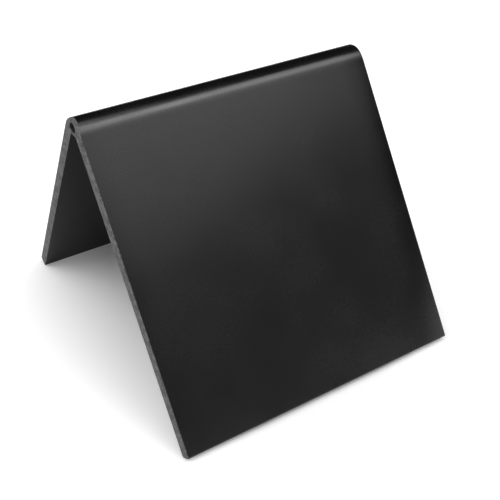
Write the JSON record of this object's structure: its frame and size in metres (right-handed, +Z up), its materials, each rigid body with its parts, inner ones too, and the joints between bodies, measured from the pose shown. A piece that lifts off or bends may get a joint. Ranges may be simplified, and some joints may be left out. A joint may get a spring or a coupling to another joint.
{
  "type": "table number sign",
  "caption": "Blank free-standing tent sign: flat front and back panels jointed to a rounded crown profile with an oval eye.",
  "frame": {"origin": "on the table, midway between the two feet and midway along the ridge", "axes": "+Z up, X along the ridge, -Y towards the front panel, with the end seen in the picture at -X"},
  "size_m": [0.0762, 0.0902, 0.0654],
  "materials": {
    "panel_sheet": "satin black sheet with a fine grain, sawn dull grey at its edges",
    "crown_plastic": "satin black, smoother over the round, sawn dull grey at its ends"
  },
  "bodies": {
    "root": {"front_panel": "panel_sheet", "back_panel": "panel_sheet", "crown_profile": "crown_plastic"}
  },
  "joints": []
}
